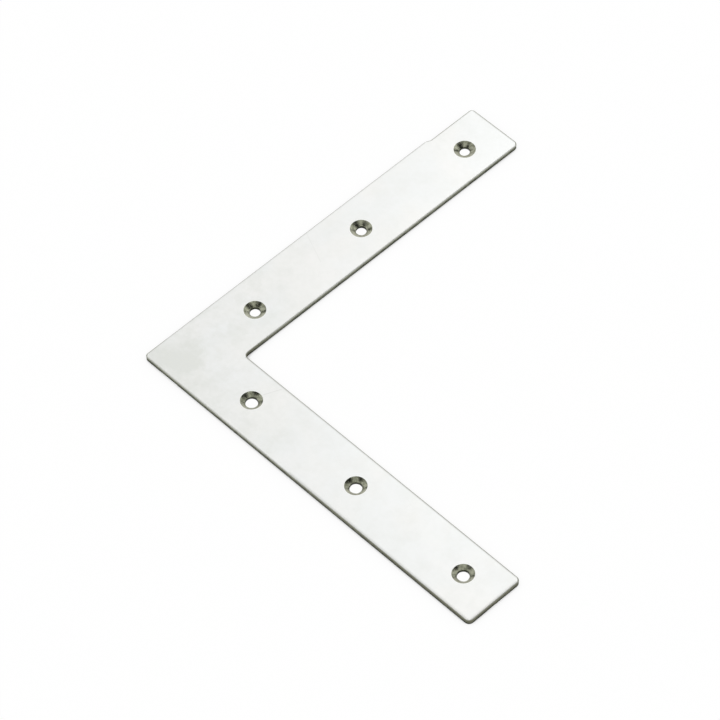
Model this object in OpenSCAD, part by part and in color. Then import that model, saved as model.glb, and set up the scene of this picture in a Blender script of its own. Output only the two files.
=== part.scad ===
// Flat corner brace: one sheet-steel L with countersunk screw holes.
// It lies on its back face, with the countersinks up. The origin is on the back face, where the
// screw lines of the two arms cross. One arm runs along +X and the other along +Y.

/* [Plate] */
// Length of each arm, from the outer corner to the arm's end
arm_l = 160; // [120:1:260]
// Width of each arm
arm_w = 24.7; // [20:0.1:36]
// Thickness of the sheet
sheet_t = 2; // [1.6:0.1:4]

/* [Sheared edges] */
// Radius of the outer corner and of the corners at the arm ends
corner_r = 1.5; // [1:0.1:4]
// Radius in the angle between the arms
inner_r = 1; // [0.5:0.1:6]
// Radius to which the shears roll over the upper edge
roll_r = 0.5; // [0.2:0.05:0.8]

/* [Screw holes] */
// Holes in each arm
holes_per_arm = 3; // [2:1:4]
// Diameter of the straight hole
hole_d = 4; // [3:0.1:5]
// Diameter of the countersink at the face
sink_d = 8; // [7:0.1:12]
// Height of the straight wall left under the countersink
land_h = 0.7; // [0.2:0.1:1]
// Distance from the inner edge of the other arm to the first hole
first_gap = 16.2; // [8:0.1:30]
// Distance from the last hole to the arm's end
last_gap = 15.5; // [8:0.5:30]
// Distance of the screw line from the middle of the arm, towards the inner edge
line_shift = 0.4; // [0:0.1:1.5]

/* [Step in the outer edge] */
// How far the outer edge of the +Y arm steps in near its end
step_in = 0.9; // [0.3:0.1:1.5]
// Length along the arm over which it steps in
step_run = 2; // [1:0.1:6]
// Distance from the end of the arm to the start of the step
step_to_end = 23; // [15:0.5:40]

/* [Hidden] */
$fn = 96;
// Distance of the screw line from the outer edge
line_in = arm_w / 2 + line_shift;
// Distance from the outer edge of the plate to the first hole, and from there to the next
first_hole = arm_w + first_gap;
pitch = (arm_l - first_hole - last_gap) / (holes_per_arm - 1);
// Widening of the countersink for each millimetre of height
sink_slope = (sink_d - hole_d) / (sheet_t - land_h);
// Cutters reach this far past the faces that they cut
past = 1;

// Section across a sheared edge: x runs outwards to the cut side at x = depth, y up from the back face.
// The upper edge is rolled over, and the lower one is sharp.
module edge_section(depth) {
    square([depth, sheet_t - roll_r]);
    square([depth - roll_r, sheet_t]);
    translate([depth - roll_r, sheet_t - roll_r])
        circle(r = roll_r);
}

// A straight stretch of edge from the origin along +X, with its cut side at y = -depth
module edge_run(length, depth) {
    translate([length, 0, 0])
        rotate([90, 0, -90])
            linear_extrude(height = length)
                edge_section(depth);
}

// A quarter turn of edge round a convex corner, about the Z axis
module convex_turn() {
    rotate_extrude(angle = 90)
        edge_section(corner_r);
}

// A quarter turn of edge round the hollow corner between the arms, about the Z axis.
// It reaches inwards far enough to cover the rolled edges that meet in a sharp corner there.
module hollow_turn() {
    depth = inner_r + 2 * roll_r;
    rotate_extrude(angle = 90)
        translate([inner_r + depth, 0])
            mirror([1, 0])
                edge_section(depth);
}

// A rectangular blank with a corner at the origin, its four sides and corners rolled over.
// Its middle laps the sides and corners, which meet each other end to end.
module blank(size_x, size_y) {
    lap = (corner_r + roll_r) / 2;
    run_x = size_x - 2 * corner_r;
    run_y = size_y - 2 * corner_r;
    translate([lap, lap, 0])
        cube([size_x - 2 * lap, size_y - 2 * lap, sheet_t]);
    for (side = [0:3]) {
        from_x = side == 1 || side == 2 ? size_x - corner_r : corner_r;
        from_y = side > 1 ? size_y - corner_r : corner_r;
        translate([from_x, from_y, 0]) {
            rotate(180 + 90 * side)
                convex_turn();
            rotate(90 * side)
                edge_run(side % 2 == 0 ? run_x : run_y, corner_r);
        }
    }
}

// Everything on the arm's side of the slanting cut that starts the step, rolled over as the rest
module step_side() {
    translate([0, arm_l - step_to_end, 0])
        rotate(270 - atan(step_in / step_run))
            translate([-arm_l, arm_l, 0])
                edge_run(2 * arm_l, arm_l);
}

// The +Y arm: at full width as far as the step, and narrower from there to its end
module stepped_arm() {
    wide_l = arm_l - step_to_end + step_run + corner_r + roll_r;
    narrow_from = arm_l - step_to_end - 2 * corner_r;
    intersection() {
        blank(arm_w, wide_l);
        step_side();
    }
    translate([step_in, narrow_from, 0])
        blank(arm_w - step_in, arm_l - narrow_from);
}

// Both arms, and the small radius in the angle between them
module plate() {
    blank(arm_l, arm_w);
    stepped_arm();
    translate([arm_w + inner_r, arm_w + inner_r, 0])
        rotate(180)
            hollow_turn();
}

// Cutter for one countersunk hole, about the Z axis
module screw_hole() {
    translate([0, 0, -past])
        cylinder(d = hole_d, h = sheet_t + 2 * past);
    translate([0, 0, land_h])
        cylinder(d1 = hole_d, d2 = sink_d + sink_slope * past, h = sheet_t - land_h + past);
}

// The row of holes in one arm, along +X from the outer corner
module screw_row() {
    for (i = [0:holes_per_arm - 1])
        translate([first_hole + i * pitch, 0, 0])
            screw_hole();
}

module corner_plate() {
    color([0.9, 0.9, 0.88])
        difference() {
            translate([-line_in, -line_in, 0])
                plate();
            translate([-line_in, 0, 0])
                screw_row();
            translate([0, -line_in, 0])
                rotate(90)
                    screw_row();
        }
}

corner_plate();
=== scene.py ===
# %% [markdown]
# # A flat corner brace of plated sheet steel
#
# A corner brace holds two boards together at a right angle. It is one L of sheet steel with three
# countersunk screw holes in each arm, and it lies flat on both boards.
# The CAD model has already settled the overall sizes. This lesson gives that plate its real edges,
# its plating and its turned countersinks, and then sets up the studio in which it is looked at.

# %% Start from the CAD model
import math

import bmesh
import bpy
from mathutils import Matrix, Vector


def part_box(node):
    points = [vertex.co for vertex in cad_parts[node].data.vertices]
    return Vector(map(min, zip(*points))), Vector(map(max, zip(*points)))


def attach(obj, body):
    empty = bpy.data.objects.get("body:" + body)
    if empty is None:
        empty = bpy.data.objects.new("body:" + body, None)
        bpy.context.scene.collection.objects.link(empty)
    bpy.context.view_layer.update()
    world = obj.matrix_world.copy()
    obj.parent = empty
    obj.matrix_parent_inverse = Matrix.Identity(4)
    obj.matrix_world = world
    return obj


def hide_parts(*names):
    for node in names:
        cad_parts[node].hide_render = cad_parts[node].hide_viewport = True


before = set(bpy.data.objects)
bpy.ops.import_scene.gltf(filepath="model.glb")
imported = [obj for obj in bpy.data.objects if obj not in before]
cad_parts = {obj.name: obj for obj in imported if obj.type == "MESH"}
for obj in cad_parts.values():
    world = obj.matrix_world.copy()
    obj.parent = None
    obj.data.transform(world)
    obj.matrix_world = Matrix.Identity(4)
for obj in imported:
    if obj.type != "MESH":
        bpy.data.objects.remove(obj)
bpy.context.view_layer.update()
cad_low, cad_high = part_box("corner_plate")
MM = 0.001


def in_mm(point, digits=2):
    """The point's coordinates in millimetres, rounded for printing."""
    return [round(v / MM, digits) for v in point]


print("CAD plate from", in_mm(cad_low), "to", in_mm(cad_high), "mm")

# %% [markdown]
# ## Sizes
#
# Everything is in metres, and the origin lies where the screw lines of the two arms cross. The
# overall sizes are measured on the CAD plate, so that they can't drift apart from it. The others are
# what the tools leave behind: small radii, the step in one edge, the holes, and how far the torn cut
# and the punched bores go into the steel.

# %% Sizes of the plate
sheet_t = cad_high.z
corner_at = Vector((cad_low.x, cad_low.y, 0))
arm_l = cad_high.x - cad_low.x
arm_w = 24.7 * MM
corner_r, end_r, hollow_r = 1.5 * MM, 2.0 * MM, 1.8 * MM
roll_r, break_r = 0.5 * MM, 0.06 * MM
step_in, step_run, step_to_end, step_r = 0.9 * MM, 2.0 * MM, 23.0 * MM, 1.2 * MM
first_gap, last_gap, holes_per_arm = 16.2 * MM, 15.5 * MM, 3
first_hole = arm_w + first_gap
pitch = (arm_l - first_hole - last_gap) / (holes_per_arm - 1)
sink_r, land_h = 4.0 * MM, 0.7 * MM
bore_x_r, bore_y_r = 2.12 * MM, 1.8 * MM
fracture, wobble = 0.22 * MM, 0.24 * MM
print("arm length, sheet, pitch:", in_mm((arm_l, sheet_t, pitch)), "mm")

# %% [markdown]
# ## A shorthand for node trees
#
# The plate's shape follows a few rules: a path goes round the outline, one section of the sheared
# edge follows it, and one countersink repeats in two rows. Geometry Nodes say this well. One helper
# adds a node and feeds its inputs in order, and two more do sums with numbers and with vectors.

# %% Helpers for node trees
def add(tree, kind, *values, **settings):
    """Adds a node and returns it. Its inputs take the values in order, and None leaves one as it is."""
    made = tree.nodes.new(kind)
    for name, value in settings.items():
        setattr(made, name, value)
    for socket, value in zip([s for s in made.inputs if s.enabled], values):
        if isinstance(value, bpy.types.NodeSocket):
            tree.links.new(value, socket)
        elif value is not None:
            socket.default_value = value
    return made


def sum_of(tree, operation, *values):
    """A Math node's result."""
    return add(tree, "ShaderNodeMath", *values, operation=operation).outputs[0]


def vector_sum(tree, operation, *values, result="Vector"):
    """A Vector Math node's result, or with "Value" its number."""
    return add(tree, "ShaderNodeVectorMath", *values, operation=operation).outputs[result]


# %% [markdown]
# ## The tree and its inputs
#
# Each size is a named input of the tree. Another brace from the same tool, with longer arms or four
# holes in each arm, only needs other numbers here.

# %% Tree with its named inputs
tree = bpy.data.node_groups.new("stamped_corner_brace", "GeometryNodeTree")
tree.interface.new_socket("Geometry", in_out="INPUT", socket_type="NodeSocketGeometry")
tree.interface.new_socket("Plate", in_out="OUTPUT", socket_type="NodeSocketGeometry")
sizes = {
    "Arm Length": arm_l,
    "Arm Width": arm_w,
    "Thickness": sheet_t,
    "Corner Radius": corner_r,
    "End Radius": end_r,
    "Hollow Radius": hollow_r,
    "Roll Radius": roll_r,
    "Break Radius": break_r,
    "Step Depth": step_in,
    "Step Run": step_run,
    "Step to End": step_to_end,
    "Step Radius": step_r,
    "First Hole": first_hole,
    "Pitch": pitch,
    "Sink Radius": sink_r,
    "Land Height": land_h,
    "Bore Radius X": bore_x_r,
    "Bore Radius Y": bore_y_r,
    "Fracture Depth": fracture,
    "Bore Wobble": wobble,
}
for name in sizes:
    tree.interface.new_socket(name, in_out="INPUT", socket_type="NodeSocketFloat")
tree.interface.new_socket("Holes per Arm", in_out="INPUT", socket_type="NodeSocketInt")
tree.interface.new_socket("Corner", in_out="INPUT", socket_type="NodeSocketVector")
materials = ("Plated Face", "Sheared Edge", "Countersink")
for name in materials:
    tree.interface.new_socket(name, in_out="INPUT", socket_type="NodeSocketMaterial")
given = tree.nodes.new("NodeGroupInput").outputs
thickness = given["Thickness"]
print(len(given) - 1, "inputs")

# %% [markdown]
# ## Round the outline
#
# The blank has eight corners. Six are the corners of the L, and two belong to the small step in the
# outer edge of the +Y arm, where one cut of the shears overran the other. They are counted from the
# outer corner, anticlockwise seen from above. A fillet rounds each of them to the radius that the
# tool has there. Short pieces between the corners leave room for the roughness of the cut. Drawing
# the outline by hand would be quicker once, but it would not follow a change of size.

# %% Points that are picked by their index
def point_of(x, y):
    return add(tree, "ShaderNodeCombineXYZ", x, y, 0.0).outputs[0]


def by_index(kind, items):
    """Picks the item that has the index of the point."""
    pick = add(tree, "GeometryNodeIndexSwitch", data_type=kind)
    while len(pick.index_switch_items) < len(items):
        pick.index_switch_items.new()
    tree.links.new(add(tree, "GeometryNodeInputIndex").outputs[0], pick.inputs["Index"])
    for socket, item in zip(pick.inputs[1:], items):
        if isinstance(item, bpy.types.NodeSocket):
            tree.links.new(item, socket)
        else:
            socket.default_value = item
    return pick.outputs[0]


# %% Rounded lines in short pieces
def rounded_line(points, radii, closed, segments):
    """A line through the points, with its corners rounded to the radii."""
    start = add(tree, "GeometryNodeMeshLine", len(points)).outputs[0]
    placed = add(tree, "GeometryNodeSetPosition", start, None, by_index("VECTOR", points)).outputs[0]
    line = add(tree, "GeometryNodeMeshToCurve", placed).outputs[0]
    line = add(tree, "GeometryNodeSetSplineCyclic", line, None, closed).outputs[0]
    fillets = by_index("FLOAT", radii)
    return add(tree, "GeometryNodeFilletCurve", line, segments, fillets, mode="POLY").outputs[0]


def cut_up(line, longest):
    """Cuts each straight piece into equal parts, none much longer than the given length."""
    here = add(tree, "GeometryNodeInputPosition").outputs[0]
    count = add(tree, "GeometryNodeSplineLength").outputs["Point Count"]
    index = add(tree, "GeometryNodeInputIndex").outputs[0]
    after = sum_of(tree, "MODULO", sum_of(tree, "ADD", index, 1.0), count)
    there = add(tree, "GeometryNodeFieldAtIndex", here, after, data_type="FLOAT_VECTOR").outputs[0]
    apart = vector_sum(tree, "DISTANCE", here, there, result="Value")
    cuts = sum_of(tree, "FLOOR", sum_of(tree, "DIVIDE", apart, longest))
    return add(tree, "GeometryNodeSubdivideCurve", line, cuts).outputs[0]


# %% Outline with its eight corners
corner_segments, outline_piece = 8, 0.5 * MM
length, width = given["Arm Length"], given["Arm Width"]
turn, end_turn, step_turn = given["Corner Radius"], given["End Radius"], given["Step Radius"]
step_start = sum_of(tree, "SUBTRACT", length, given["Step to End"])
step_end = sum_of(tree, "ADD", step_start, given["Step Run"])
corners = [
    point_of(0.0, 0.0),
    point_of(length, 0.0),
    point_of(length, width),
    point_of(width, width),
    point_of(width, length),
    point_of(given["Step Depth"], length),
    point_of(given["Step Depth"], step_end),
    point_of(0.0, step_start),
]
turns = [turn, end_turn, end_turn, given["Hollow Radius"], end_turn, turn, step_turn, step_turn]
outline = cut_up(rounded_line(corners, turns, True, corner_segments), outline_piece)
outline = add(tree, "GeometryNodeTransform", outline, given["Corner"]).outputs[0]
outline = add(tree, "GeometryNodeSetCurveNormal", outline, mode="Z_UP").outputs[0]
print("outline with", len(corners), "corners, cut into pieces of about", outline_piece / MM, "mm")

# %% [markdown]
# ## The sheared edge
#
# Shears don't cut sheet steel through. They first bend the upper edge down, which rolls it over, then
# cut a smooth band, and the rest of the thickness tears away a little rough. The section of the edge
# therefore runs along the face, over the roll, down the wall, round a tiny break at the bottom and
# back under the plate. It follows the outline. The flat strips at both ends of the section join the
# faces, so that light runs on smoothly from the face into the roll.

# %% Sections, and carrying them along a path
fillet_segments, section_piece = 6, 0.25 * MM


def section_of(points, radii):
    """A section with x outwards from the path and y upwards, mirrored because the sweep turns y over."""
    section = cut_up(rounded_line(points, radii, False, fillet_segments), section_piece)
    return add(tree, "GeometryNodeTransform", section, None, None, (1, -1, 1)).outputs[0]


def carried(path, section):
    return add(tree, "GeometryNodeCurveToMesh", path, section).outputs[0]


# %% Edge round the whole outline
edge_lip = 0.4 * MM
lip = sum_of(tree, "ADD", given["Roll Radius"], edge_lip)
inwards = sum_of(tree, "MULTIPLY", lip, -1.0)
edge_section = section_of(
    [point_of(inwards, thickness), point_of(0.0, thickness), point_of(0.0, 0.0), point_of(inwards, 0.0)],
    [0.0, given["Roll Radius"], given["Break Radius"], 0.0],
)
edge = carried(outline, edge_section)
print("flat strip beside the roll:", edge_lip / MM, "mm")

# %% [markdown]
# ## One countersunk hole
#
# The hole is punched, and then a cutter turns the cone for the screw head into it. Its section runs
# along the face, over the sharp rim, down the cone, over the rounded throat to the short straight
# land, and out under the plate. It is carried round a circle as wide as the bore. A Boolean could cut
# the holes as well, but carrying a section keeps the points of each wall in even rings.

# %% Wall of a hole
rim_r, throat_r, hole_lip = 0.05 * MM, 0.4 * MM, 0.5 * MM
hole_sides = 72


def hole_wall(bore):
    """The wall of one hole round the origin, with a flat strip at the face and one at the back."""
    head = sum_of(tree, "SUBTRACT", given["Sink Radius"], bore)
    points = [
        point_of(sum_of(tree, "ADD", head, hole_lip), thickness),
        point_of(head, thickness),
        point_of(0.0, given["Land Height"]),
        point_of(0.0, 0.0),
        point_of(hole_lip, 0.0),
    ]
    section = section_of(points, [0.0, rim_r, throat_r, given["Break Radius"], 0.0])
    circle = add(tree, "GeometryNodeCurvePrimitiveCircle", hole_sides, bore).outputs[0]
    circle = add(tree, "GeometryNodeSetCurveNormal", circle, mode="Z_UP").outputs[0]
    return add(tree, "GeometryNodeFlipFaces", carried(circle, section)).outputs[0]


# %% Two rows of holes
def row_of(wall, along):
    """The wall of a hole at each place of a row that starts beside the inner angle."""
    corner = add(tree, "ShaderNodeSeparateXYZ", given["Corner"]).outputs
    first, gap = [0.0, 0.0], [0.0, 0.0]
    first[along] = sum_of(tree, "ADD", given["First Hole"], corner[along])
    gap[along] = given["Pitch"]
    count = given["Holes per Arm"]
    row = add(tree, "GeometryNodeMeshLine", count, point_of(*first), point_of(*gap)).outputs[0]
    return add(tree, "GeometryNodeInstanceOnPoints", row, None, wall).outputs[0]


rows = [row_of(hole_wall(given["Bore Radius X"]), 0), row_of(hole_wall(given["Bore Radius Y"]), 1)]
join = add(tree, "GeometryNodeJoinGeometry")
for row in rows:
    tree.links.new(row, join.inputs[0])
holes = add(tree, "GeometryNodeRealizeInstances", join.outputs[0]).outputs[0]
in_hole = add(tree, "GeometryNodeCaptureAttribute", holes)
in_hole.capture_items.new("BOOLEAN", "In Hole")
in_hole.inputs["In Hole"].default_value = True
holes, hole_mark = in_hole.outputs[0], in_hole.outputs[1]
print(len(rows), "rows of", holes_per_arm, "holes,", hole_sides, "sides each")

# %% [markdown]
# ## The torn part of the cut
#
# Below the smooth band the wall is torn. Noise pushes those points a little over two tenths of a
# millimetre sideways into the steel at most, and never out of it. A coarser noise makes each punched
# bore uneven. A bump in the finish would be lighter, but it would leave the outline straight.

# %% Depth of the tear at each point
walls = add(tree, "GeometryNodeJoinGeometry")
for part in (edge, holes):
    tree.links.new(part, walls.inputs[0])
place = add(tree, "GeometryNodeInputPosition").outputs[0]
height = add(tree, "ShaderNodeSeparateXYZ", place).outputs["Z"]
tear_scale, wobble_scale = 800.0, 380.0
fine = add(tree, "ShaderNodeTexNoise", place, tear_scale, 3.0, 0.6, noise_dimensions="3D").outputs[0]
coarse = add(tree, "ShaderNodeTexNoise", place, wobble_scale, 1.0, 0.5, noise_dimensions="3D").outputs[0]
fine = add(tree, "ShaderNodeMapRange", fine, 0.38, 0.66, 0.0, given["Fracture Depth"]).outputs[0]
coarse = add(tree, "ShaderNodeMapRange", coarse, 0.36, 0.64, 0.0, given["Bore Wobble"]).outputs[0]
noise = add(tree, "GeometryNodeSwitch", hole_mark, fine, coarse, input_type="FLOAT").outputs[0]
tear_begins, tear_full = 0.62, 0.3
share = sum_of(tree, "DIVIDE", height, thickness)
torn = add(tree, "ShaderNodeMapRange", share, tear_begins, tear_full, interpolation_type="SMOOTHSTEP")
depth = sum_of(tree, "MULTIPLY", sum_of(tree, "MULTIPLY", noise, torn.outputs[0]), -1.0)

# %% Push into the steel
normal = add(tree, "GeometryNodeInputNormal").outputs[0]
sideways = vector_sum(tree, "MULTIPLY", normal, (1, 1, 0))
push = add(tree, "ShaderNodeVectorMath", sideways, operation="SCALE")
tree.links.new(depth, push.inputs["Scale"])
shell = add(tree, "GeometryNodeSetPosition", walls.outputs[0], None, None, push.outputs[0]).outputs[0]
print("torn below", round(tear_begins * sheet_t / MM, 2), "mm, at most", fracture / MM, "mm deep")

# %% [markdown]
# ## The two faces
#
# The walls now stand like fences with two open rims, one at the top and one at the bottom. Each face
# is filled between its rims, so it meets the walls point for point. The back face is turned over to
# look downwards. Merging the points closes the plate.

# %% Comparing fields
def compare(operation, a, b):
    return add(tree, "FunctionNodeCompare", a, b, operation=operation, data_type="FLOAT").outputs[0]


def both(a, b):
    return add(tree, "FunctionNodeBooleanMath", a, b, operation="AND").outputs[0]


# %% Faces between the rims
merge_gap = 0.002 * MM
neighbours = add(tree, "GeometryNodeInputMeshEdgeNeighbors").outputs[0]
open_edge = compare("LESS_THAN", neighbours, 1.5)
middle = sum_of(tree, "MULTIPLY", thickness, 0.5)
faces = []
for side, level in (("GREATER_THAN", thickness), ("LESS_THAN", 0.0)):
    on_rim = both(open_edge, compare(side, height, middle))
    rim = add(tree, "GeometryNodeMeshToCurve", shell, on_rim).outputs[0]
    flat = add(tree, "GeometryNodeFillCurve", rim, mode="NGONS").outputs[0]
    lift = add(tree, "ShaderNodeCombineXYZ", 0.0, 0.0, level).outputs[0]
    faces.append(add(tree, "GeometryNodeTransform", flat, lift).outputs[0])
faces[1] = add(tree, "GeometryNodeFlipFaces", faces[1]).outputs[0]
closed = add(tree, "GeometryNodeJoinGeometry")
for part in (shell, *faces):
    tree.links.new(part, closed.inputs[0])
whole = add(tree, "GeometryNodeMergeByDistance", closed.outputs[0], None, merge_gap).outputs[0]
print(len(faces), "faces filled, points closer than", merge_gap / MM, "mm merged")

# %% [markdown]
# ## Smooth and flat parts
#
# The faces stay flat. The rest is smooth, apart from the edges at which the steel really turns
# sharply, such as the rim of a countersink.

# %% Smooth walls and flat faces
skin, sharp_from = 0.001 * MM, math.radians(35)
below_face = compare("LESS_THAN", height, sum_of(tree, "SUBTRACT", thickness, skin))
on_wall = both(compare("GREATER_THAN", height, skin), below_face)
sharp = compare("GREATER_THAN", add(tree, "GeometryNodeInputMeshEdgeAngle").outputs[0], sharp_from)
whole = add(tree, "GeometryNodeSetShadeSmooth", whole, None, on_wall, domain="FACE").outputs[0]
whole = add(tree, "GeometryNodeSetShadeSmooth", whole, sharp, False, domain="EDGE").outputs[0]
print("walls smooth, edges sharp from", round(math.degrees(sharp_from)), "degrees")

# %% [markdown]
# ## Which way each spot looks, and its finish
#
# The finishes paint light and shade by the way the steel looks: the rolls of the sides that look
# towards -X and +Y are painted dark, and in each countersink one side is painted pale and the other
# gets more painted shade. A finish can't tell from a place alone which way the steel looks there, so
# the tree stores that on the mesh as a named attribute. The last nodes give each part its finish.

# %% Way of the painted light and shade, and the three finishes
# The finishes paint light and shade by how far a spot looks this way, towards +X and -Y
painted_light_way = (0.7, -0.7, 0.0)
side_look = vector_sum(tree, "DOT_PRODUCT", normal, painted_light_way, result="Value")
kind = {"data_type": "FLOAT", "domain": "CORNER"}
stored = add(tree, "GeometryNodeStoreNamedAttribute", whole, None, "Painted Light Side", side_look, **kind)
whole = stored.outputs[0]
whole = add(tree, "GeometryNodeRealizeInstances", whole).outputs[0]
whole = add(tree, "GeometryNodeSetMaterial", whole, None, given["Plated Face"]).outputs[0]
whole = add(tree, "GeometryNodeSetMaterial", whole, on_wall, given["Sheared Edge"]).outputs[0]
whole = add(tree, "GeometryNodeSetMaterial", whole, both(on_wall, hole_mark), given["Countersink"]).outputs[0]
tree.links.new(whole, add(tree, "NodeGroupOutput").inputs[0])
print("the tree has", len(tree.nodes), "nodes")

# %% [markdown]
# ## Run the tree
#
# The tree runs once on an empty object. Its result becomes a plain mesh, so nothing is left that has
# to be worked out again later.

# %% Three finishes, still empty
plated = bpy.data.materials.new("plated_face")
sheared = bpy.data.materials.new("sheared_edge")
turned = bpy.data.materials.new("turned_countersink")
print("finishes:", [m.name for m in (plated, sheared, turned)])


# %% Make the mesh
def built(name, group, values):
    """Runs the tree with these values and returns its result as a plain mesh object."""
    carrier = bpy.data.objects.new(name + "_tree", bpy.data.meshes.new(name + "_start"))
    bpy.context.scene.collection.objects.link(carrier)
    modifier = carrier.modifiers.new("tree", "NODES")
    modifier.node_group = group
    for item in group.interface.items_tree:
        if item.item_type == "SOCKET" and item.in_out == "INPUT" and item.name in values:
            modifier[item.identifier] = values[item.name]
    ready = carrier.evaluated_get(bpy.context.evaluated_depsgraph_get())
    mesh = bpy.data.meshes.new_from_object(ready)
    mesh.name = name
    while mesh.materials and mesh.materials[0] is None:
        mesh.materials.pop(index=0)
    made = bpy.data.objects.new(name, mesh)
    bpy.context.scene.collection.objects.link(made)
    bpy.data.objects.remove(carrier)
    return made


values = dict(sizes)
values["Holes per Arm"] = holes_per_arm
values["Corner"] = corner_at
values["Plated Face"], values["Sheared Edge"], values["Countersink"] = plated, sheared, turned
brace = built("corner_brace", tree, values)
print(brace.name, "has", len(brace.data.vertices), "points")

# %% [markdown]
# ## Is it a solid?
#
# A plate of steel has no gaps and no wall that is inside out. Both would hardly show in a picture and
# still spoil the mesh for other uses, so they are counted: each edge must join exactly two faces that
# are turned the same way. The box is printed as well, to compare with that of the CAD plate above.

# %% Measure what was made
check = bmesh.new()
check.from_mesh(brace.data)
loose = sum(not (e.is_manifold and e.is_contiguous) for e in check.edges)
volume = check.calc_volume(signed=True) / MM**3
triangles = sum(len(f.verts) - 2 for f in check.faces)
check.free()
box = [Vector(c) for c in brace.bound_box]
print("open or turned edges", loose, " volume", round(volume, 1), "mm3  triangles", triangles)
low = [min(c[i] for c in box) for i in range(3)]
high = [max(c[i] for c in box) for i in range(3)]
print("box from", in_mm(low, 4), "to", in_mm(high, 4), "mm")
print("finishes", [m.name for m in brace.data.materials])

# %% [markdown]
# ## Bright plating
#
# The plating, most likely zinc, is almost white. It isn't even: it has faint clouds, a little cooler
# or warmer than the rest, and the steel under it has the fine grain of the rolling mill. An image
# could hold that, but it would have to be laid over the plate. Here all of it is worked out from the
# place on the plate, in millimetres, so it looks the same from any side.

# %% Helpers for patterns
def fresh(material):
    """The material's own node tree, emptied, and the place on the plate in millimetres."""
    material.use_nodes = True
    tree = material.node_tree
    tree.nodes.clear()
    place = add(tree, "ShaderNodeTexCoord").outputs["Object"]
    return tree, add(tree, "ShaderNodeMapping", place, None, None, (1000, 1000, 1000)).outputs[0]


def noise_at(tree, place, scale, detail=2.0, stretch=(1, 1, 1), offset=(0, 0, 0)):
    """Noise from 0 to 1, in features of about 1 / scale millimetres."""
    moved = add(tree, "ShaderNodeMapping", place, offset, None, stretch).outputs[0]
    return add(tree, "ShaderNodeTexNoise", moved, scale, detail, 0.55).outputs[0]


def ramped(tree, value, low, high, to_low=0.0, to_high=1.0):
    """Maps low..high to to_low..to_high with soft ends."""
    ramp = add(tree, "ShaderNodeMapRange", value, low, high, to_low, to_high, interpolation_type="SMOOTHSTEP")
    return ramp.outputs[0]


def blended(tree, share, first, second):
    """A mix of two colours."""
    mix = add(tree, "ShaderNodeMix", data_type="RGBA")
    for name, value in (("Factor_Float", share), ("A_Color", first), ("B_Color", second)):
        socket = next(s for s in mix.inputs if s.identifier == name)
        if isinstance(value, bpy.types.NodeSocket):
            tree.links.new(value, socket)
        else:
            socket.default_value = value if name == "Factor_Float" else (*value, 1.0)
    return next(s for s in mix.outputs if s.identifier == "Result_Color")


# %% Helpers that end a finish
def painted(tree, colour, roughness, normal, metallic=1.0, shine=0.5):
    """Ends a material's tree in a metal with these inputs. The shine is that of the parts that are not metal.
    """
    shader = add(tree, "ShaderNodeBsdfPrincipled")
    inputs = {
        "Base Color": colour,
        "Roughness": roughness,
        "Normal": normal,
        "Metallic": metallic,
        "Specular IOR Level": shine,
    }
    for name, value in inputs.items():
        if isinstance(value, bpy.types.NodeSocket):
            tree.links.new(value, shader.inputs[name])
        else:
            shader.inputs[name].default_value = value
    tree.links.new(shader.outputs[0], add(tree, "ShaderNodeOutputMaterial").inputs[0])


def bumped(tree, height, depth_mm):
    """A bump of that many millimetres from a height of 0 to 1."""
    return add(tree, "ShaderNodeBump", 1.0, depth_mm * MM, None, height).outputs[0]


# %% A soft line between two places
def near_line(tree, place, start, end, half_width):
    """1 on a straight line between two places on the face, falling to 0 at half_width."""
    span = (end[0] - start[0], end[1] - start[1], 0.0)
    flat = vector_sum(tree, "MULTIPLY", place, (1, 1, 0))
    away = vector_sum(tree, "SUBTRACT", flat, (*start, 0))
    along = vector_sum(tree, "DOT_PRODUCT", away, span, result="Value")
    share = add(tree, "ShaderNodeMapRange", along, 0.0, span[0] ** 2 + span[1] ** 2, 0.0, 1.0).outputs[0]
    foot = add(tree, "ShaderNodeVectorMath", span, operation="SCALE")
    tree.links.new(share, foot.inputs["Scale"])
    gap = vector_sum(tree, "DISTANCE", away, foot.outputs[0], result="Value")
    return ramped(tree, gap, 0.0, half_width, 1.0, 0.0)


# %% Clouds, patches and flecks
# The dull white is also the colour of the painted shade at the outer corner
cool_white, warm_white, dull_and_shade_white = (0.925, 0.938, 0.936), (0.945, 0.945, 0.932), (0.83, 0.845, 0.815)


def plating(tree, place):
    """Colour and roughness of the plating, with duller clouds. Painted shade makes it darkest at the outer
    corner and brightest at the ends.
    """
    clouds = noise_at(tree, place, 0.035, 3.0)
    patches = noise_at(tree, place, 0.16, 3.0, offset=(7, 3, 0))
    warm = ramped(tree, noise_at(tree, place, 0.05, 2.0, offset=(31, 12, 5)), 0.35, 0.65)
    tint = blended(tree, warm, cool_white, warm_white)
    flecks = noise_at(tree, place, 0.5, 3.0, offset=(15, 40, 0))
    dull_and_shade = ramped(tree, clouds, 0.38, 0.68, 0.0, 0.3)
    dull_and_shade = sum_of(tree, "ADD", dull_and_shade, ramped(tree, patches, 0.42, 0.68, 0.0, 0.38))
    dull_and_shade = sum_of(tree, "ADD", dull_and_shade, ramped(tree, flecks, 0.35, 0.65, 0.0, 0.24))
    # Painted shade: the plating gets darker towards the outer corner and lighter towards the ends
    spot = add(tree, "ShaderNodeSeparateXYZ", place).outputs
    from_corner = sum_of(tree, "ADD", spot["X"], spot["Y"])
    dull_and_shade = sum_of(tree, "MULTIPLY", dull_and_shade, ramped(tree, from_corner, 0.0, 70.0, 1.0, 0.45))
    corner = near_line(tree, place, (-9.0, -9.0), (-2.0, -2.0), 10.0)
    dull_and_shade = sum_of(tree, "ADD", dull_and_shade, sum_of(tree, "MULTIPLY", corner, 0.75))
    colour = blended(tree, dull_and_shade, tint, dull_and_shade_white)
    roughness = ramped(tree, patches, 0.3, 0.7, 0.345, 0.355)
    return colour, roughness


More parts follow.
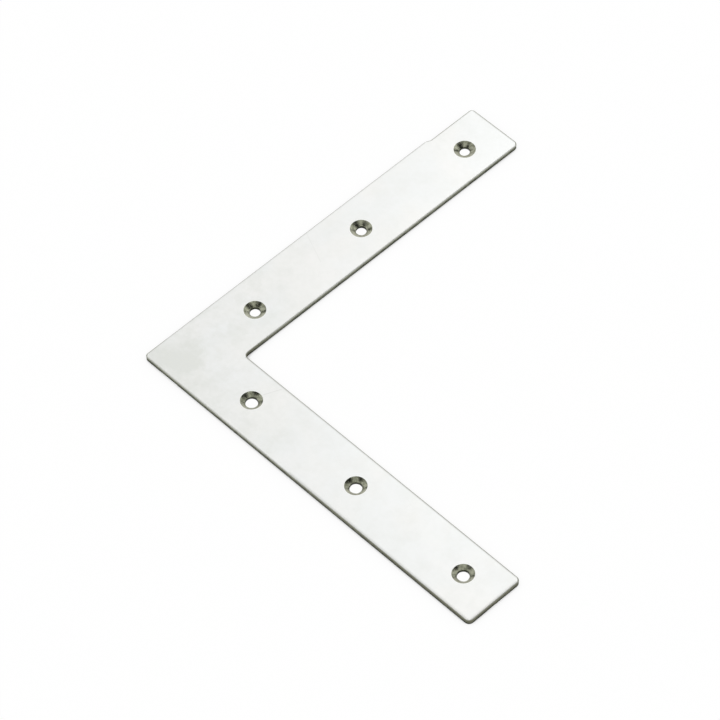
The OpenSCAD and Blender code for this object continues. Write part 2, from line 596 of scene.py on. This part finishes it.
# %% [markdown]
# ## Scratches and painted shade along the edges
#
# Two faint scratches cross the face, and a narrow band along most of its edges is darker than the
# rest: that band is painted shade. The scratches are too shallow for the mesh, so each scratch and
# each band is a soft line of darker colour between two places on the face, in millimetres.

# %% Places of the scratches and of the painted shade along the edges
# Start, end and strength
scratches = [((29.3, 4.4), (32.1, 10.8), 0.25), ((-12.4, 64.8), (0.9, 59.3), 0.12)]
scratch_w, scratched = 0.25, (0.55, 0.55, 0.52)
# Painted shade along the edges: start, end, half width and strength
shaded_rims = [
    ((60.0, -12.25), (146.0, -12.25), 0.9, 0.26),
    ((146.75, -11.0), (146.75, 10.0), 0.9, 0.26),
    ((13.0, 11.45), (146.0, 11.45), 0.45, 0.35),
    ((-10.5, 146.75), (10.5, 146.75), 0.45, 0.4),
    ((-12.25, -11.0), (-12.25, 123.5), 0.45, 0.14),
    ((-11.35, 126.5), (-11.35, 146.0), 0.45, 0.14),
]
# Colour of the painted shade along the edges
rim_shade = (0.3, 0.3, 0.26)
print(len(scratches), "scratches and", len(shaded_rims), "shaded_rims")

# %% Plated face
grain_depth = 0.002
nodes, place = fresh(plated)
colour, roughness = plating(nodes, place)
for start, end, strength in scratches:
    scratch = near_line(nodes, place, start, end, scratch_w)
    colour = blended(nodes, sum_of(nodes, "MULTIPLY", scratch, strength), colour, scratched)
# Painted shade along the edges of the face
for start, end, wide, strength in shaded_rims:
    rim = near_line(nodes, place, start, end, wide)
    colour = blended(nodes, sum_of(nodes, "MULTIPLY", rim, strength), colour, rim_shade)
grain = noise_at(nodes, place, 1.6, 3.0, stretch=(0.12, 1.0, 1.0))
painted(nodes, colour, roughness, bumped(nodes, grain, grain_depth))
print(plated.name, "has", len(nodes.nodes), "nodes")

# %% [markdown]
# ## Sheared edge
#
# The cut has hardly any plating, and the torn part is dull. From the side the edge looks dark and a
# little olive, darkest at the bottom. Its colour is that of the bare steel with painted shade in it,
# chosen by the height above the floor and made uneven by streaks and mottle. More painted shade
# darkens it in the hollow and towards the end of the +X arm.

# %% Colours of the cut
# The cut's own colour with painted shade in it, from the bottom of the wall to the top
cut_low, cut_high = (0.05, 0.056, 0.035), (0.25, 0.26, 0.195)
# Darker colours of the cut for its painted shade in the hollow and towards the end of the +X arm
shaded_cut_low, shaded_cut_high = (0.034, 0.038, 0.022), (0.17, 0.172, 0.118)
nodes, place = fresh(sheared)
x, y, height = add(nodes, "ShaderNodeSeparateXYZ", place).outputs
streaks = noise_at(nodes, place, 1.8, 3.0, stretch=(1.0, 1.0, 0.25))
mottle = noise_at(nodes, place, 0.5, 3.0, offset=(3, 9, 0))
level = sum_of(nodes, "ADD", height, ramped(nodes, streaks, 0.3, 0.7, -0.2, 0.2))
level = sum_of(nodes, "ADD", level, ramped(nodes, mottle, 0.35, 0.65, -0.3, 0.3))
cut = blended(nodes, ramped(nodes, level, 0.0, 1.95), cut_low, cut_high)
shaded_cut = blended(nodes, ramped(nodes, level, 0.0, 1.8), shaded_cut_low, shaded_cut_high)
# Painted shade: darker towards the end of the +X arm and in the hollow
towards_end = ramped(nodes, sum_of(nodes, "SUBTRACT", x, y), 30.0, 150.0)
hollow = near_line(nodes, place, (12.0, 12.0), (13.0, 13.0), 16.0)
cut_shade = sum_of(nodes, "MAXIMUM", towards_end, hollow)
cut = blended(nodes, cut_shade, cut, shaded_cut)

# %% [markdown]
# ## Where the plating ends
#
# Over the roll the plated colour of the face gives way to the dark cut slowly on the sides that look
# towards +X and -Y, and quickly on the others: that is painted shade on the rolls. Where the cut has
# painted shade, the plated colour gives way sooner on the first sides too. The share that is left
# over the roll runs from 0 to 1, and raised to a power it falls off the quicker, the higher the power
# is. The stored attribute says which power holds. The outer tip is plated further down than the rest.

# %% Share of plating over the roll
# Painted shade over the rolls, keyed to the way each spot looks
shade_side = add(nodes, "ShaderNodeAttribute", attribute_name="Painted Light Side").outputs["Fac"]
# Painted shade: the plated colour gives way slowly on the sides that look towards +X and -Y, apart from where
# the cut is shaded, and quickly on the others
near_side = ramped(nodes, cut_shade, 0.0, 0.8, 1.7, 5.0)
far_side = ramped(nodes, x, -12.4, -12.0, 8.0, 28.0)
outer_tip = near_line(nodes, place, (-12.7, -12.7), (-12.7, -9.0), 12.0)
far_side = sum_of(nodes, "MAXIMUM", far_side, sum_of(nodes, "MULTIPLY", outer_tip, 24.0))
less_shaded_side = ramped(nodes, shade_side, -0.05, 0.2)
quickness = add(nodes, "ShaderNodeMix", less_shaded_side, far_side, near_side).outputs[0]
roll_low, face_at = (sheet_t - roll_r) / MM, sheet_t / MM
over_roll = add(nodes, "ShaderNodeMapRange", height, roll_low, face_at).outputs[0]
kept = sum_of(nodes, "POWER", over_roll, quickness)
tip = ramped(nodes, sum_of(nodes, "ADD", x, y), -24.8, -21.5, 1.4, 2.0)
plated_tip = ramped(nodes, height, tip, sum_of(nodes, "ADD", tip, 0.5))
plated_tip = sum_of(nodes, "MULTIPLY", plated_tip, ramped(nodes, shade_side, 0.3, 0.6))
kept = sum_of(nodes, "MAXIMUM", kept, plated_tip)

# %% Cut edge with what is left of the plating
streak_depth, cut_shine = 0.02, 0.15
colour = blended(nodes, kept, cut, plating(nodes, place)[0])
roughness = ramped(nodes, height, 1.2, 2.0, 0.55, 0.4)
metallic = ramped(nodes, kept, 0.0, 1.0, 0.1, 1.0)
painted(nodes, colour, roughness, bumped(nodes, streaks, streak_depth), metallic, cut_shine)
print(sheared.name, "has", len(nodes.nodes), "nodes")

# %% [markdown]
# ## Turned countersink
#
# The cutter goes through the plating and leaves fine rings on the cone. The bare steel is greyer and
# darker than the plating. The bore below the cone is painted dark as shade. On the +X and -Y side of
# each hole painted light makes the cone pale and less metallic, and on the other side the painted
# shade of the bore reaches further up. Rings this fine would take many faces in the mesh, so they are
# a bump that follows the height on the cone.

# %% Rings of the cutter
ring_pitch, ring_share, mark_share = 0.16, 0.03, 0.25
nodes, place = fresh(turned)
height = add(nodes, "ShaderNodeSeparateXYZ", place).outputs["Z"]
rings = sum_of(nodes, "SINE", sum_of(nodes, "MULTIPLY", height, 2 * math.pi / ring_pitch))
rings = ramped(nodes, rings, -1.0, 1.0)
marks = noise_at(nodes, place, 0.8, 3.0)
above = sum_of(nodes, "SUBTRACT", height, 1.0)
crown = sum_of(nodes, "SUBTRACT", 1.0, sum_of(nodes, "MULTIPLY", above, above))
relief = sum_of(nodes, "MULTIPLY", rings, ring_share)
relief = sum_of(nodes, "ADD", relief, sum_of(nodes, "MULTIPLY", marks, mark_share))
relief = sum_of(nodes, "ADD", relief, crown)

# %% Bare steel, painted pale side and painted shade in the bore
steel_dark, steel_pale = (0.215, 0.226, 0.165), (0.415, 0.425, 0.33)
# Colours of the painted pale side and of the painted shade in the bore
painted_pale_steel, bore_shade = (0.66, 0.655, 0.55), (0.025, 0.027, 0.016)
relief_depth = 0.12
colour = blended(nodes, ramped(nodes, marks, 0.38, 0.62), steel_dark, steel_pale)
light_side = add(nodes, "ShaderNodeAttribute", attribute_name="Painted Light Side").outputs["Fac"]
# Painted shade: the bore is dark, and on the -X and +Y side of a hole the dark reaches further up
bore_shade_level = sum_of(nodes, "SUBTRACT", height, ramped(nodes, light_side, -0.1, 0.5, 0.0, 0.22))
# Painted light: on the +X and -Y side of a hole the cone is pale and less metallic
painted_pale = ramped(nodes, light_side, -0.45, 0.0, 1.0, 0.0)
colour = blended(nodes, sum_of(nodes, "MULTIPLY", painted_pale, 0.55), colour, painted_pale_steel)
colour = blended(nodes, ramped(nodes, bore_shade_level, 0.5, 0.7), bore_shade, colour)
bright = ramped(nodes, painted_pale, 0.0, 1.0, 1.0, 0.4)
roughness = ramped(nodes, marks, 0.3, 0.7, 0.18, 0.26)
painted(nodes, colour, roughness, bumped(nodes, relief, relief_depth), bright)
print(turned.name, "has", len(nodes.nodes), "nodes")

# %% [markdown]
# ## The new plate takes the place of the CAD plate
#
# The plate is one rigid piece that nothing moves, so it rides on the root body. It replaces the CAD
# solid in the picture, and the CAD solid itself stays as it is.

# %% Hand the plate over
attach(brace, "root")
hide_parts("corner_plate")
print(brace.name, "replaces the CAD plate")

# %% [markdown]
# ## Floor
#
# The plate lies on a white floor. Most of its white comes from the floor's own colour as the camera,
# the metal and anything clear see it, and the rest is lit. A soft shade stays where the plate hides
# the sky from the floor, within a few millimetres of its edges. Under the bores the floor is bright.

# %% A flat sheet
def flat_sheet(name, wide, high, level, material):
    """A rectangle round its own middle, at that height, in one material."""
    x, y = wide / 2, high / 2
    mesh = bpy.data.meshes.new(name)
    mesh.from_pydata([(-x, -y, level), (x, -y, level), (x, y, level), (-x, y, level)], [], [(0, 1, 2, 3)])
    mesh.materials.append(material)
    return bpy.data.objects.new(name, mesh)


floor_w, floor_at = 12.0, -0.05 * MM
white = bpy.data.materials.new("white_floor")
floor = flat_sheet("floor", floor_w, floor_w, floor_at, white)
bpy.context.scene.collection.objects.link(floor)
print("floor", floor_w, "m wide,", floor_at / MM, "mm high")

# %% White of the floor and the shade on it
glow_share, shade_reach = 0.985, 6 * MM
white.use_nodes = True
nodes = white.node_tree
nodes.nodes.clear()
rays = add(nodes, "ShaderNodeLightPath").outputs
seen = sum_of(nodes, "MAXIMUM", rays["Is Camera Ray"], rays["Is Glossy Ray"])
seen = sum_of(nodes, "MAXIMUM", seen, rays["Is Transmission Ray"])
share = sum_of(nodes, "MULTIPLY", seen, glow_share)
open_sky = add(nodes, "ShaderNodeAmbientOcclusion", samples=12)
open_sky.inputs["Distance"].default_value = shade_reach
shade = ramped(nodes, open_sky.outputs["AO"], 0.4, 1.0, 0.9, 1.0)
shade = sum_of(nodes, "MULTIPLY", shade, ramped(nodes, open_sky.outputs["AO"], 0.5, 0.6, 0.6, 1.0))

# %% Bright floor under the bores
spot = add(nodes, "ShaderNodeSeparateXYZ", add(nodes, "ShaderNodeTexCoord").outputs["Object"]).outputs
x, y = spot["X"], spot["Y"]
off_row = sum_of(nodes, "MINIMUM", sum_of(nodes, "ABSOLUTE", x), sum_of(nodes, "ABSOLUTE", y))
past_end = sum_of(nodes, "GREATER_THAN", sum_of(nodes, "MAXIMUM", x, y), cad_high.x)
before_corner = sum_of(nodes, "LESS_THAN", sum_of(nodes, "MINIMUM", x, y), cad_low.x)
shaded = sum_of(nodes, "MAXIMUM", sum_of(nodes, "GREATER_THAN", off_row, sink_r), past_end)
shaded = sum_of(nodes, "MAXIMUM", shaded, before_corner)
shade = sum_of(nodes, "MAXIMUM", shade, sum_of(nodes, "SUBTRACT", 1.0, shaded))
glow = add(nodes, "ShaderNodeEmission", (1, 1, 1, 1), shade).outputs[0]
paint = add(nodes, "ShaderNodeBsdfDiffuse", (0.95, 0.95, 0.94, 1)).outputs[0]
both_shares = add(nodes, "ShaderNodeMixShader", share, paint, glow).outputs[0]
nodes.links.new(both_shares, add(nodes, "ShaderNodeOutputMaterial").inputs[0])
print(white.name, "has", len(nodes.nodes), "nodes")

# %% [markdown]
# ## Camera
#
# The camera stands a long way off with a long lens, so the arms hardly taper. It looks down steeply
# from between +X and -Y, aims between the two arms and is tipped a little to one side.

# %% Where the camera stands
def direction(turn, rise):
    """The way from the plate to a place at that azimuth and elevation, in radians."""
    return Vector((math.sin(turn) * math.cos(rise), -math.cos(turn) * math.cos(rise), math.sin(rise)))


aim, distance = Vector((40.96, 39.65, 0.0)) * MM, 1.6286
azimuth, elevation, roll = math.radians(47.904), math.radians(52.194), math.radians(-2.497)
towards = direction(azimuth, elevation)

# %% Camera
camera = bpy.data.objects.new("camera", bpy.data.cameras.new("camera"))
bpy.context.scene.collection.objects.link(camera)
bpy.context.scene.camera = camera
camera.data.lens = 234.28
camera.data.clip_start, camera.data.clip_end = 0.05, 50.0
camera.location = aim + towards * distance
look = (-towards).to_track_quat("-Z", "Y").to_matrix() @ Matrix.Rotation(roll, 3, "Z")
camera.rotation_euler = look.to_euler()
print("camera at", [round(v, 3) for v in camera.location])

# %% [markdown]
# ## Light
#
# The world is a pale room that is dimmer behind the camera. A softbox hangs over the far side and
# lights the ends of the arms a little more than the corner. Black cards stand where the countersinks
# mirror them, because bright metal shows its shape only where it mirrors something dark.

# %% Room
world = bpy.data.worlds.new("room")
bpy.context.scene.world = world
world.use_nodes = True
nodes = world.node_tree
nodes.nodes.clear()
way = add(nodes, "ShaderNodeTexCoord").outputs["Generated"]
up = add(nodes, "ShaderNodeSeparateXYZ", way).outputs["Z"]
far_side = blended(nodes, ramped(nodes, up, 0.05, 0.35), (0.85, 0.85, 0.84), (0.885, 0.885, 0.88))
facing = vector_sum(nodes, "DOT_PRODUCT", way, tuple(towards), result="Value")
room = blended(nodes, ramped(nodes, facing, 0.3, 0.8), far_side, (0.8, 0.8, 0.78))
sky = add(nodes, "ShaderNodeBackground", room, 1.0).outputs[0]
nodes.links.new(sky, add(nodes, "ShaderNodeOutputWorld").inputs[0])
print("room with", len(nodes.nodes), "nodes")


# %% Softbox over the far side
def facing_plate(thing, turn_deg, rise_deg, away):
    """Stands a thing round the plate, facing it: turn_deg on from the camera's azimuth, and rise_deg up."""
    way = direction(azimuth + math.radians(turn_deg), math.radians(rise_deg))
    thing.location = aim + way * away
    thing.rotation_euler = (thing.location - aim).to_track_quat("Z", "Y").to_euler()
    bpy.context.scene.collection.objects.link(thing)


softbox = bpy.data.objects.new("softbox", bpy.data.lights.new("softbox", "AREA"))
softbox.data.shape = "RECTANGLE"
softbox.data.size, softbox.data.size_y = 0.36, 0.42
softbox.data.energy = 0.175
facing_plate(softbox, 148, 47, 0.55)
print("softbox", round(softbox.data.energy, 3), "W")

# %% Black cards
# Turn and rise in degrees, width and height in metres
cards = [(82, 57, 0.46, 0.34), (-69, 61, 0.32, 0.3), (138, 22, 0.12, 0.16), (-138, 22, 0.12, 0.16)]
card_away = 0.6
black = bpy.data.materials.new("black_card")
black.use_nodes = True
card_paint = black.node_tree.nodes["Principled BSDF"].inputs
card_paint["Base Color"].default_value = (0.02, 0.02, 0.02, 1)
card_paint["Roughness"].default_value = 0.9
for number, (turn_deg, rise_deg, wide, high) in enumerate(cards):
    card = flat_sheet(f"card_{number}", wide, high, 0.0, black)
    facing_plate(card, turn_deg, rise_deg, card_away)
    card.visible_camera = card.visible_diffuse = card.visible_shadow = False
print(len(cards), "black cards, seen only as reflections")

# %% [markdown]
# ## Picture settings
#
# The Standard view shows colours as they are, so white stays white.

# %% Picture settings
bpy.context.scene.view_settings.view_transform = "Standard"
